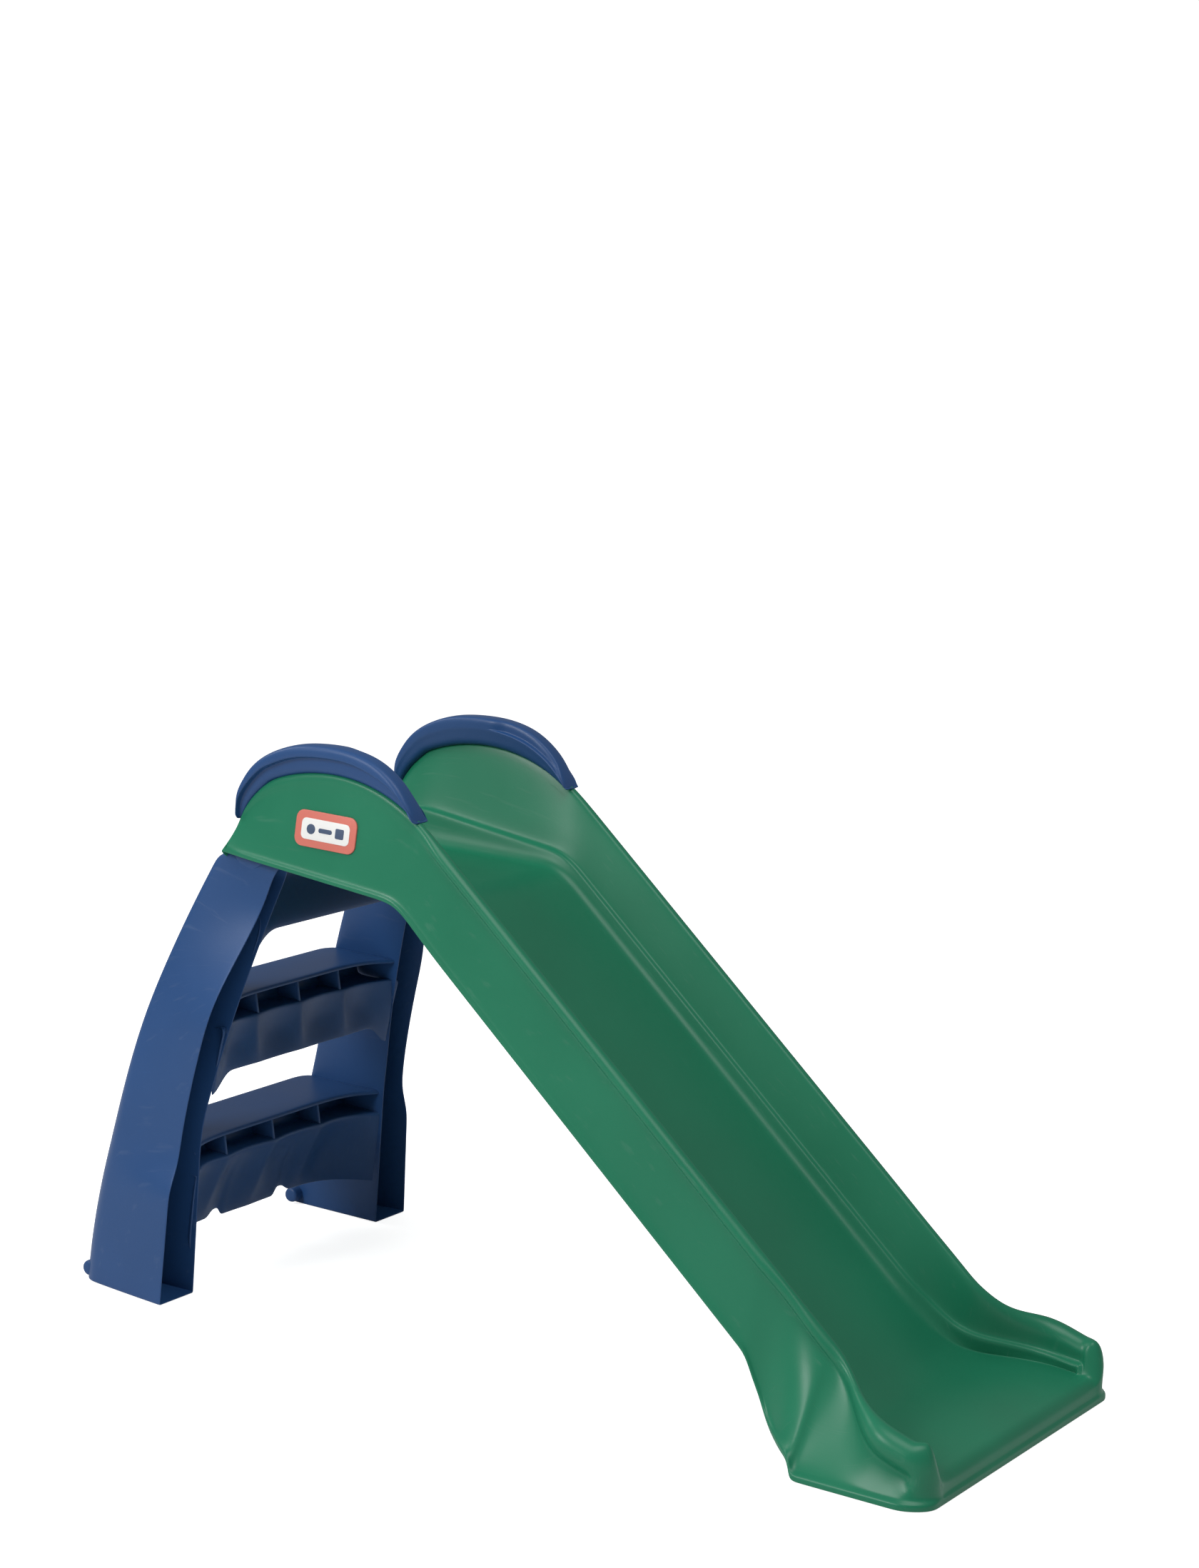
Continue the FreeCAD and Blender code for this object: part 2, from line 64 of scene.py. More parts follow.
def along(value, knots):
    """Reads a value off a line through (place, value) knots."""
    if value <= knots[0][0]:
        return knots[0][1]
    for (a, low), (b, high) in zip(knots, knots[1:]):
        if value <= b:
            return low + (high - low) * (value - a) / (b - a)
    return knots[-1][1]


def bend(x, corner, before, after, radius):
    reach = radius * abs(math.sin(math.atan(after) - math.atan(before))) / 2
    if x <= corner - reach:
        return 0.0
    if x >= corner + reach:
        return (after - before) * (x - corner)
    return (after - before) * (x - corner + reach) ** 2 / (4 * reach)


def bed_z(x):
    crest = bend(x, platform_front, 0.0, -slope, 62.0)
    return platform_z + crest + bend(x, run_out_x, -slope, -exit_fall, 95.0)


def bed_y(x):
    return 98.0 + 74.0 * ease(x, 285.0, 445.0)


def rim_y(x):
    return 140.5 + 49.5 * ease(x, 350.0, 430.0)


def rim_z(x):
    if x < touch_x:
        return arch_z + math.sqrt(arch_radius ** 2 - (x - arch_x) ** 2)
    line = platform_z - slope * (x - platform_front) + side_height
    nose = 57.0 + along(x, [(384.0, 25.0), (400.0, 19.0), (462.0, 0.0)])
    share = ease(x, 363.0, 413.0)
    return line * (1 - share) + nose * share


def foot_z(x):
    """Lower edge of the outer wall; it reaches the floor where the base starts."""
    back = platform_z + 3.0 - 0.085 * (x + 222.0)
    line = platform_z - slope * (x - platform_front) - 24.5
    share = ease(x, platform_front - 32.0, platform_front + 38.0)
    low = (back + bend(x, platform_front - 22.0, -0.085, -slope, 55.0)) * (1 - share) + line * share
    return along(x, [(262.0, low), (271.0, 64.0), (289.0, 33.0), (301.0, 23.0), (320.0, 18.5),
                     (338.0, 15.5), (343.0, 6.0), (base_start, 0.0)]) if x > 262.0 else low


def foot_y(x):
    return 154.0 + 54.0 * ease(x, 276.0, 352.0)


def side_profile(low_x, top_x, top_z):
    """Points (x, distance from the middle, z) from the outer wall's foot over the rim to the bed."""
    low, y = foot_z(low_x), foot_y(low_x)
    flare = ease(low_x, 350.0, 445.0)
    middle = rim_y(low_x)
    lip = along(low_x, [(-366.0, 0.2), (-335.0, 2.4), (341.0, 2.4), (347.0, 5.5)])
    lip_top = along(low_x, [(335.0, 6.0), (350.0, 8.0)])
    tube = ease(low_x, 365.0, 425.0)
    deep = 15.0 + 15.0 * tube
    neck_z = top_z - deep
    lean = min(154.0 - 0.10 * (neck_z - low), middle + 6.0)
    neck = lean + (middle + 6.5 - lean) * ease(low_x, 290.0, 350.0)
    proud = 3.6 * ease(low_x, -140.0, -115.0) * (1 - ease(low_x, 320.0, 365.0)) + 8.5 * tube
    half = 6.3 + 7.7 * tube
    wall = neck - y
    outer = [(y + lip, low), (y + lip, low + 1.5), (y + lip, low + lip_top - 2.0), (y + 0.5, low + lip_top),
             (y + wall * 0.10, low + lip_top + 3.5), (y + wall * 0.55, (low + neck_z) / 2 + 3.0),
             (neck, neck_z - 2.0), (neck + 0.2 + 2.5 * tube, neck_z + 1.0),
             (neck + proud, neck_z + 3.0 + 6.0 * tube), (neck + proud + 0.2, top_z - 5.5 - 5.5 * tube),
             (middle + half * 0.62, top_z - 1.0 - 2.2 * tube), (middle, top_z)]
    edge, floor = bed_y(low_x), bed_z(low_x)
    rise = along(low_x, [(-368.0, 21.0), (-348.0, 29.0), (-310.0, 36.0), (-150.0, 17.0)]) * (1 - 0.45 * flare)
    room = min(14.0, (middle - half - 6.0 - edge) * 0.6)
    crown = [(middle - half * 0.62, top_z - 1.0 - 2.2 * tube), (middle - half, top_z - 5.5 - 5.5 * tube)]
    ledge = edge + room
    inner = [(ledge + 6.4, floor + rise + 3.0), (ledge + 4.6, floor + rise + 0.9),
             (ledge + 1.0, floor + rise), (ledge - 0.6, floor + rise - 2.2),
             (edge + room * 0.78, floor + rise * 0.42),
             (edge + room * 0.42, floor + rise * 0.10), (edge, floor + 0.3), (edge - 4.0, floor)]
    high = crown[1]
    inner.insert(0, ((high[0] + inner[0][0]) / 2, (high[1] + inner[0][1]) / 2))
    points = []
    for number, (across, z) in enumerate(outer + crown + inner):
        start = low if number <= crown_number else floor
        share = (z - start) / (top_z - start)
        points.append(Vector((low_x + (top_x - low_x) * share, across, z)))
    return points


# The front of the exit: distance ahead of the pan's edge and height, in the same order.
front_profile = [(27.3, 0.0), (27.3, 1.5), (27.3, 6.0), (24.8, 8.0), (24.2, 9.5), (23.6, 11.5),
                 (23.0, 13.5), (22.4, 15.3), (21.6, 17.0), (20.4, 18.8), (18.8, 20.6), (16.8, 22.2),
                 (14.6, 23.4), (12.4, 24.1), (10.4, 24.5), (8.8, 24.7), (7.4, 24.85), (6.0, 24.95),
                 (4.8, 25.0), (3.4, 25.1), (2.2, 25.2), (1.1, 25.3), (0.0, 25.3)]


def corner_profile(degrees):
    """The rim turns about the pan's corner while it falls from the side's height to the lip's."""
    side = side_profile(pan_corner.x, pan_corner.x, rim_z(pan_corner.x))
    turn = math.radians(degrees)
    share = degrees / 90.0
    fall = ease(degrees, 38.0, 90.0)
    column = ease(degrees, 0.0, 18.0) * (1 - ease(degrees, 68.0, 90.0))
    points = []
    for number, (beside, (ahead, z)) in enumerate(zip(side, front_profile)):
        reach = (beside.y - pan_corner.y) * (1 - share) + ahead * share
        if 3 < number < 9:
            reach += (max(reach, 38.5 - 14.5 * share) - reach) * column
        reach = min(reach, front_profile[0][0] / math.sin(turn))
        points.append(Vector((pan_corner.x + reach * math.sin(turn), pan_corner.y + reach * math.cos(turn),
                              beside.z * (1 - fall) + z * fall)))
    return points


def draw_out(bm, rows):
    """Draws the first row as a chain of edges and pulls it out through the other rows."""
    chain = [bm.verts.new(point) for point in rows[0]]
    edges = [bm.edges.new(pair) for pair in zip(chain, chain[1:])]
    for points in rows[1:]:
        grown = bmesh.ops.extrude_edge_only(bm, edges=edges)["geom"]
        fresh = {part for part in grown if isinstance(part, bmesh.types.BMVert)}
        chain = [next(edge.other_vert(vert) for edge in vert.link_edges if edge.other_vert(vert) in fresh)
                 for vert in chain]
        edges = [bm.edges.get(pair) for pair in zip(chain, chain[1:])]
        for vert, point in zip(chain, points):
            vert.co = point


def mirrored(points):
    return [Vector((point.x, -point.y, point.z)) for point in points]


def close_up(bm, upward=None):
    """Welds the rows and points every face outwards; upward is a place where the skin looks up."""
    bmesh.ops.remove_doubles(bm, verts=bm.verts, dist=0.02)
    bmesh.ops.dissolve_degenerate(bm, edges=bm.edges, dist=0.01)
    bmesh.ops.recalc_face_normals(bm, faces=bm.faces)
    if upward:
        nearest = min(bm.faces, key=lambda face: (face.calc_center_median() - Vector(upward)).length)
        if nearest.normal.z < 0:
            bmesh.ops.reverse_faces(bm, faces=bm.faces)


def make_piece(bm, name, material, body, nodes=(), wall=None, levels=0, bevel=None):
    """Scales to metres, makes the object, and gives it its wall, its rounding, its finish and its body."""
    bmesh.ops.scale(bm, vec=(MM, MM, MM), verts=bm.verts)
    mesh = bpy.data.meshes.new(name)
    bm.to_mesh(mesh)
    bm.free()
    for polygon in mesh.polygons:
        polygon.use_smooth = True
    piece = bpy.data.objects.new(name, mesh)
    bpy.context.scene.collection.objects.link(piece)
    mesh.materials.append(material)
    if wall:
        shell = piece.modifiers.new("wall", "SOLIDIFY")
        shell.thickness = wall * MM
        shell.offset = -1.0
        shell.use_even_offset = True
        shell.thickness_clamp = 1.2
    if bevel:
        soft = piece.modifiers.new("rounding", "BEVEL")
        soft.width = bevel * MM
        soft.segments = 3
        soft.limit_method = "ANGLE"
        soft.angle_limit = math.radians(35)
    if levels:
        smooth = piece.modifiers.new("smooth", "SUBSURF")
        smooth.levels = levels
        smooth.render_levels = levels
    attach(piece, body)
    if nodes:
        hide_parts(*nodes)


# Moulded polyethylene: a soft sheen over a fine grain, faint scuffs along the fall of
# the slide, and slightly paler, duller edges where it has been handled.
def moulded_skin_group():
    group = bpy.data.node_groups.new("Moulded Skin", "ShaderNodeTree")
    face = group.interface
    for label, kind, value in (("Colour", "NodeSocketColor", (0.1, 0.1, 0.1, 1.0)),
                               ("Roughness", "NodeSocketFloat", 0.35), ("Scuffs", "NodeSocketFloat", 0.5),
                               ("Grain", "NodeSocketFloat", 0.3)):
        face.new_socket(name=label, in_out="INPUT", socket_type=kind).default_value = value
    face.new_socket(name="Colour", in_out="OUTPUT", socket_type="NodeSocketColor")
    face.new_socket(name="Roughness", in_out="OUTPUT", socket_type="NodeSocketFloat")
    face.new_socket(name="Normal", in_out="OUTPUT", socket_type="NodeSocketVector")
    nodes, links = group.nodes, group.links
    given = nodes.new("NodeGroupInput")
    out = nodes.new("NodeGroupOutput")
    place = nodes.new("ShaderNodeTexCoord")

    def noise(scale, detail, stretch=(1.0, 1.0, 1.0), turn=0.0):
        mapping = nodes.new("ShaderNodeMapping")
        mapping.inputs["Scale"].default_value = stretch
        mapping.inputs["Rotation"].default_value = (0.0, turn, 0.0)
        links.new(place.outputs["Object"], mapping.inputs["Vector"])
        texture = nodes.new("ShaderNodeTexNoise")
        texture.inputs["Scale"].default_value = scale
        texture.inputs["Detail"].default_value = detail
        links.new(mapping.outputs["Vector"], texture.inputs["Vector"])
        return texture.outputs["Fac"]

    def math_node(operation, first, second, clamp=False):
        node = nodes.new("ShaderNodeMath")
        node.operation = operation
        node.use_clamp = clamp
        for socket, value in zip(node.inputs, (first, second)):
            if isinstance(value, float):
                socket.default_value = value
            else:
                links.new(value, socket)
        return node.outputs[0]

    def spread(value, low, high):
        node = nodes.new("ShaderNodeMapRange")
        node.inputs["From Min"].default_value = low
        node.inputs["From Max"].default_value = high
        links.new(value, node.inputs["Value"])
        return node.outputs["Result"]

    cloud = spread(noise(7.0, 3.0), 0.35, 0.7)
    scratch = spread(noise(60.0, 6.0, (0.25, 12.0, 1.0), math.radians(-40)), 0.62, 0.74)
    speck = spread(noise(420.0, 2.0), 0.62, 0.75)
    geometry = nodes.new("ShaderNodeNewGeometry")
    edge = spread(geometry.outputs["Pointiness"], 0.53, 0.62)
    worn = math_node("MULTIPLY", math_node("ADD", scratch, math_node("MULTIPLY", edge, 0.8), True),
                     given.outputs["Scuffs"])
    paler = nodes.new("ShaderNodeMix")
    paler.data_type = "RGBA"
    paler.blend_type = "MIX"
    paler.inputs["B"].default_value = (0.62, 0.68, 0.68, 1.0)
    links.new(math_node("MULTIPLY", worn, 0.05), paler.inputs["Factor"])
    links.new(given.outputs["Colour"], paler.inputs["A"])
    tone = nodes.new("ShaderNodeHueSaturation")
    links.new(paler.outputs["Result"], tone.inputs["Color"])
    value = math_node("ADD", 0.93, math_node("MULTIPLY", cloud, 0.10))
    links.new(math_node("ADD", value, math_node("MULTIPLY", speck, 0.05)), tone.inputs["Value"])
    links.new(tone.outputs["Color"], out.inputs["Colour"])
    dull = math_node("ADD", math_node("MULTIPLY", cloud, 0.07), math_node("MULTIPLY", worn, 0.22))
    links.new(math_node("ADD", given.outputs["Roughness"], dull, True), out.inputs["Roughness"])
    bump = nodes.new("ShaderNodeBump")
    bump.inputs["Distance"].default_value = 0.0004
    links.new(given.outputs["Grain"], bump.inputs["Strength"])
    links.new(math_node("ADD", noise(900.0, 2.0), math_node("MULTIPLY", noise(34.0, 2.0), 1.2)),
              bump.inputs["Height"])
    links.new(bump.outputs["Normal"], out.inputs["Normal"])
    return group


moulded_skin = moulded_skin_group()


def moulded(name, colour, roughness, scuffs, grain, specular=0.5):
    material = bpy.data.materials.new(name)
    material.use_nodes = True
    nodes, links = material.node_tree.nodes, material.node_tree.links
    shader = nodes["Principled BSDF"]
    shader.inputs["Specular IOR Level"].default_value = specular
    effect = nodes.new("ShaderNodeGroup")
    effect.node_tree = moulded_skin
    effect.inputs["Colour"].default_value = (*colour, 1.0)
    effect.inputs["Roughness"].default_value = roughness
    effect.inputs["Scuffs"].default_value = scuffs
    effect.inputs["Grain"].default_value = grain
    links.new(effect.outputs["Colour"], shader.inputs["Base Color"])
    links.new(effect.outputs["Roughness"], shader.inputs["Roughness"])
    links.new(effect.outputs["Normal"], shader.inputs["Normal"])
    return material


green = moulded("green polyethylene", (0.012, 0.172, 0.090), 0.32, 0.5, 0.10, 0.30)

# Stations down the chute; the first few lean back to follow the sides' rounded back corner.
back_stations = [(-368.0, -352.0, 487.5), (-365.5, -350.0, 498.0), (-360.0, -344.5, 509.5),
                 (-350.0, -335.5, 521.0), (-334.0, -321.0, None), (-312.0, -304.0, None)]
stations = [(low, top, z or rim_z(top)) for low, top, z in back_stations]
stations += [(x, x, rim_z(x)) for x in (
    -285.0, -262.0, -240.0, -218.0, -196.0, -178.0, -165.0, -155.0, -145.0, -134.5, -124.0, -114.0, -104.0,
    -84.0, -60.0, -30.0, 10.0, 50.0, 90.0, 130.0, 170.0, 205.0, 235.0, 252.0, 262.0, 271.0, 280.0, 289.0,
    301.0, 314.0, 326.0, 338.0, 343.0, 347.0, 356.0, 368.0, 380.0, 392.0, 404.0, 416.0, 430.0, 443.0, 455.0)]
columns = 6
sides = [side_profile(*station) for station in stations]
# The hollow sides close at the back with a plain wall, so the last station is evened out.
back = sides[0]
for number, point in enumerate(back):
    start = back[0] if number < crown_number else back[-1]
    share = number / crown_number if number < crown_number else 2 - number / crown_number
    back[number] = start.lerp(back[crown_number], share) if number != crown_number else point
# The outer and inner wall meet on one line behind it.
shift = Vector((-0.8, 0.0, 0.0))
folded = []
for number, point in enumerate(back):
    twin = back[len(back) - 1 - number]
    folded.append(Vector(((point.x + twin.x) / 2, 133.0, (point.z + twin.z) / 2)) + shift)
for foot in (folded[0], folded[-1]):
    foot.z -= 8.0
tight = [point.lerp(fold, 0.08) + shift for point, fold in zip(back, folded)]
turn = [corner_profile(degrees) for degrees in (9.0, 18.0, 30.0, 42.0, 54.0, 66.0, 78.0, 90.0)]
front = []
for number in range(1, columns):
    y = pan_corner.y * (1 - 2 * number / columns)
    front.append([Vector((pan_corner.x + ahead, y, z)) for ahead, z in front_profile])
path = [folded, tight] + sides + turn + front
path += [mirrored(row) for row in reversed([folded, tight] + sides + turn)]
bm = bmesh.new()
draw_out(bm, path)
bed_rows = []
for x, z in ((-374.5, platform_z - 11.0), (-374.8, platform_z - 4.0), (-373.6, platform_z - 0.8)):
    bed_rows.append([Vector((x, 120.0 * (1 - 2 * n / columns), z)) for n in range(columns + 1)])
for row in sides:
    inner = row[-1]
    bed_rows.append([Vector((inner.x, inner.y * (1 - 2 * n / columns), inner.z)) for n in range(columns + 1)])
draw_out(bm, bed_rows)
close_up(bm, upward=(100.0, 0.0, bed_z(100.0)))
make_piece(bm, "chute", green, "chute",
           ["slide_bed", "slide_side_left", "slide_side_right", "slide_exit_lip"],
           wall=skin, levels=2)

# ---- Handrails ---------------------------------------------------------------------
# A blue polyethylene rail arches over each side: a thin web stands on the side's top
# and carries a wider rolled rim, with a shallow grip rabbet at the front. Screwed from below.
blue = moulded("blue polyethylene", (0.017, 0.064, 0.190), 0.38, 0.5, 0.14, 0.32)
handrail_knots = [(-355.0, 492.0), (-357.5, 513.0), (-351.5, 530.0), (-338.0, 549.0), (-317.0, 564.0),
                  (-287.0, 575.0), (-247.0, 579.0), (-215.0, 576.5), (-189.0, 568.0), (-166.0, 552.0),
                  (-151.0, 533.0), (-143.0, 517.0)]


def smooth_curve(knots, steps):
    """A Catmull-Rom curve through the knots."""
    knots = [Vector(knot) for knot in knots]
    ends = [knots[0] * 2 - knots[1]] + knots + [knots[-1] * 2 - knots[-2]]
    points = []
    for a, b, c, d in zip(ends, ends[1:], ends[2:], ends[3:]):
        for step in range(steps):
            t = step / steps
            points.append(0.5 * (2 * b + (c - a) * t + (2 * a - 5 * b + 4 * c - d) * t * t
                                 + (3 * b - a - 3 * c + d) * t ** 3))
    return points + [knots[-1]]


def side_crest(x, z):
    """Place on the side's top below a place on the handrail."""
    toward = Vector((x - arch_x, z - arch_z)).normalized()
    x = arch_x + arch_radius * toward.x
    if x < -326.0:
        rest = [(-353.0, 487.5), (-350.5, 498.0), (-345.0, 509.5), (-335.5, 521.0), (-321.0, rim_z(-321.0))]
        return min((Vector(p) for p in smooth_curve(rest, 8)),
                   key=lambda p: abs(math.atan2(p.y - arch_z, p.x - arch_x)
                                     - math.atan2(toward.y, toward.x)))
    return Vector((x, rim_z(x)))


def handrail_section(outer, side):
    """Closed outline of the handrail at one place along it: web, rim, grip rabbet."""
    base = side_crest(*outer)
    span = outer - base
    height = max(span.length, 0.6)
    up = span.normalized() if span.length > 0.6 else Vector((-0.3, 0.95)).normalized()
    low = -3.0
    rim = min(12.5, height * 0.48)
    grip = 4.5 * ease(outer.x, -231.0, -227.0) * (1 - ease(outer.x, -160.0, -148.0))
    shelf = min(11.0, height * 0.4)
    outline = [(145.0, low), (145.0, height - rim - 1.5), (146.0, height - rim), (151.4, height - rim + 0.4),
               (152.0, height - rim + 2.0), (152.0, height - 4.5), (150.0, height - 1.3), (146.0, height),
               (131.0 + grip * 0.5, height), (127.5 + grip, height - 1.3), (126.2 + grip, height - 4.0),
               (126.0 + grip, height - shelf + 0.6), (126.0 + grip * 0.9, height - shelf),
               (126.0, height - shelf - 0.4), (126.0, height - shelf - 2.0), (127.5, (height - shelf) * 0.5),
               (128.8, low)]
    points = []
    for y, rise in outline:
        rise = max(rise, low)
        place = base + up * rise
        points.append(Vector((place.x, side * y, place.y)))
    return points


for name, side in (("left", 1), ("right", -1)):
    bm = bmesh.new()
    rows = [handrail_section(point, side) for point in smooth_curve(handrail_knots, 3)]
    for row in rows:
        row.append(row[0].copy())
    draw_out(bm, rows)
    bmesh.ops.remove_doubles(bm, verts=bm.verts, dist=0.01)
    bmesh.ops.holes_fill(bm, edges=bm.edges, sides=0)
    close_up(bm)
    make_piece(bm, "handrail_" + name, blue, "chute", ["handrail_" + name], levels=2)

# ---- Screws and hinge pins ---------------------------------------------------------
# Zinc-plated screws hold the handrails from inside the hollow sides; two turned steel
# pins carry the ladder. Hidden in use, and kept as they were drawn.
def metal(name, colour, roughness):
    material = moulded(name, colour, roughness, 0.4, 0.1)
    material.node_tree.nodes["Principled BSDF"].inputs["Metallic"].default_value = 1.0
    return material


zinc = metal("zinc plate", (0.62, 0.63, 0.64), 0.32)
pin_steel = metal("turned steel", (0.56, 0.57, 0.58), 0.26)
for node, finish in (("handrail_screws", zinc), ("pivot_pin_left", pin_steel),
                     ("pivot_pin_right", pin_steel)):
    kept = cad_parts[node]
    kept.data.materials.clear()
    kept.data.materials.append(finish)

# ---- Badges ------------------------------------------------------------------------
# A raised plastic label on each outer wall: a coral frame around a white field, with
# three plain raised shapes and no lettering.
coral = moulded("coral label plastic", (0.62, 0.16, 0.12), 0.34, 0.2, 0.06)
white = moulded("white label plastic", (0.80, 0.80, 0.78), 0.36, 0.2, 0.05)
navy = moulded("navy label plastic", (0.05, 0.08, 0.15), 0.40, 0.2, 0.05)
badge_x, badge_z = -246.0, 495.0
badge_long, badge_wide = 72.0, 36.0


def label_plate(bm, long, wide, corner, low, high, across=0.0):
    """A rounded plate lying in the side view, from one height above the wall to another."""
    made = bmesh.ops.create_cube(bm, size=1.0)["verts"]
    for vert in made:
        vert.co = Vector((vert.co.x * long + across, high if vert.co.y > 0 else low, vert.co.z * wide))
    upright = {edge for vert in made for edge in vert.link_edges
               if abs(edge.verts[0].co.y - edge.verts[1].co.y) > (high - low) * 0.9}
    bmesh.ops.bevel(bm, geom=list(upright), offset=corner, affect="EDGES", segments=8,
                    profile=0.5, material=-1)


def onto_wall(bm, side):
    """Lays label pieces against the leaning outer wall."""
    top_z = rim_z(badge_x)
    row = side_profile(badge_x, badge_x, top_z)
    low, high = row[4], row[6]
    share = (badge_z - low.z) / (high.z - low.z)
    y = low.y + (high.y - low.y) * share
    lean = math.atan((low.y - high.y) / (high.z - low.z))
    for vert in bm.verts:
        vert.co = Matrix.Rotation(lean, 3, "X") @ vert.co
        vert.co = Vector((vert.co.x + badge_x, side * (vert.co.y + y), vert.co.z + badge_z))
    bmesh.ops.recalc_face_normals(bm, faces=bm.faces)


for name, side in (("left", 1), ("right", -1)):
    bm = bmesh.new()
    label_plate(bm, badge_long, badge_wide, 9.0, -0.8, 1.4)
    onto_wall(bm, side)
    make_piece(bm, "badge_" + name, coral, "chute", ["badge_" + name],
               bevel=0.6)
    bm = bmesh.new()
    label_plate(bm, badge_long - 15.0, badge_wide - 15.0, 5.0, 0.6, 1.8)
    onto_wall(bm, side)
    make_piece(bm, "badge_field_" + name, white, "chute", bevel=0.3)
    bm = bmesh.new()
    for across in (-17.0, 17.0):
        label_plate(bm, 10.0, 10.0, 4.9 if across * side > 0 else 1.5, 1.2, 2.1, across)
    label_plate(bm, 16.0, 4.5, 2.1, 1.2, 2.1)
    onto_wall(bm, side)
    make_piece(bm, "badge_marks_" + name, navy, "chute", bevel=0.2)

# ---- Ladder rails -------------------------------------------------------------------
# The ladder is one blue moulding. Each leg is a channel, open towards the slide, that
# narrows upwards, rounds over at its outer back edge and ends in a pierced hinge ear.
rail_levels = [0.0, 6.0, 20.0, 40.0, 60.0, 80.0, 100.0, 112.0, 124.0, 136.0, 150.0, 170.0, 190.0, 212.0,
               235.0, 258.0, 282.0, 305.0, 328.0, 350.0, 370.0, 390.0, 408.0, 424.0, 438.0, 447.0,
               452.0, 456.0, 462.0]
pivot_x, pivot_z = -339.0, 462.0
rail_wall = 3.4
rail_narrowing = 1.75


def rail_front(z):
    return -367.7 + 61.7 * (max(0.0, z - 150.0) / 300.0) ** 1.45


def rail_back(z):
    tuck = along(z, [(447.0, -500.0), (447.1, -381.0), (452.0, -374.0), (456.0, -366.0), (462.0, -361.5)])
    return max(-481.0 + 101.0 * (z / 450.0) ** rail_narrowing, tuck)


def rail_outer_rear(z):
    return 206.0 - 60.4 * (z / 450.0) ** rail_narrowing


def rail_outer(z):
    shoulder = 38.9 * ease(z, 285.0, 420.0)
    return min(205.5 - 0.05 * z - shoulder + 12.0 * (1 - ease(z, 108.0, 153.0)), 250.0)


def rail_inner(z):
    return 162.0 - 44.0 * max(0.0, z - 180.0) / 270.0 + 14.0 * ease(z, 438.0, 452.0)


def rail_section(z):
    """Plan outline of one leg: front inner edge, inner wall, back, rounded corner, outer wall."""
    front, rear, outer, inner = rail_front(z), rail_back(z), rail_outer(z), rail_inner(z)
    if z > 438.0:
        front += 6.0 * ease(z, 438.0, 458.0)
    corner = 24.0 - 17.0 * ease(z, 130.0, 310.0)
    depth = front - rear
    points = [(front, inner), (front - 1.5, inner), (front - depth * 0.3, inner),
              (front - depth * 0.65, inner), (rear + 7.0, inner), (rear + 2.0, inner + 1.2),
              (rear, inner + 6.0)]
    behind = rail_outer_rear(z)
    points.append((rear, (inner + 6.0 + behind - corner) / 2))
    for degrees in (0.0, 22.5, 45.0, 67.5, 90.0):
        angle = math.radians(degrees)
        points.append((rear + corner - corner * math.cos(angle), behind - corner + corner * math.sin(angle)))
    points += [(front - depth * 0.4, outer + (behind - outer) * 0.45), (front - 1.5, outer), (front, outer)]
    return points


for name, side in (("left", 1), ("right", -1)):
    bm = bmesh.new()
    rows = [[Vector((x, side * y, z)) for x, y in rail_section(z)] for z in rail_levels]
    foot = rows[0]
    fold = [(point + twin) / 2 for point, twin in zip(foot, reversed(foot))]
    rows = [fold, [point.lerp(middle, 0.06) for point, middle in zip(foot, fold)]] + rows
    draw_out(bm, rows)
    close_up(bm)
    outside = max(bm.faces, key=lambda face: side * face.calc_center_median().y)
    if outside.normal.y * side < 0:
        bmesh.ops.reverse_faces(bm, faces=bm.faces)
    make_piece(bm, "ladder_rail_" + name, blue, "ladder", ["ladder_rail_" + name],
               wall=rail_wall, levels=2)
    # the pierced ear, turned about the hinge's axis
    bm = bmesh.new()
    ring = [bm.verts.new((pivot_x + reach, side * y, pivot_z)) for reach, y in
            ((4.15, 130.2), (20.0, 130.2), (20.0, 145.8), (4.15, 145.8))]
    edges = [bm.edges.new(pair) for pair in zip(ring, ring[1:] + ring[:1])]
    bmesh.ops.spin(bm, geom=ring + edges, cent=(pivot_x, 0.0, pivot_z), axis=(0.0, 1.0, 0.0),
                   angle=math.tau, steps=40, use_merge=True)
    close_up(bm)
    make_piece(bm, "hinge_ear_" + name, blue, "ladder", bevel=1.0)
    # the rounded bar across the heel
    bm = bmesh.new()
    low_y, high_y, heel_radius = 150.0, 199.0, 8.0
    made = bmesh.ops.create_cone(bm, cap_ends=True, segments=24, radius1=heel_radius, radius2=heel_radius,
                                 depth=high_y - low_y, matrix=Matrix.Rotation(math.pi / 2, 4, "X"))["verts"]
    for vert in made:
        vert.co += Vector((-474.4, side * (low_y + high_y) / 2, 10.5))
    close_up(bm)
    make_piece(bm, "heel_bar_" + name, blue, "ladder", bevel=3.0)

# ---- Steps ---------------------------------------------------------------------------
# Each step runs between the legs: a flat tread, open pockets under its front edge that
# are parted by thin ribs, and a fluted riser that sweeps forward into the legs.
pockets = 4


def wave(y, half):
    """0 at the ribs and at the ends, 1 in the middle of each pocket."""
    return abs(math.sin(math.pi * pockets * (y + half) / (2 * half)))


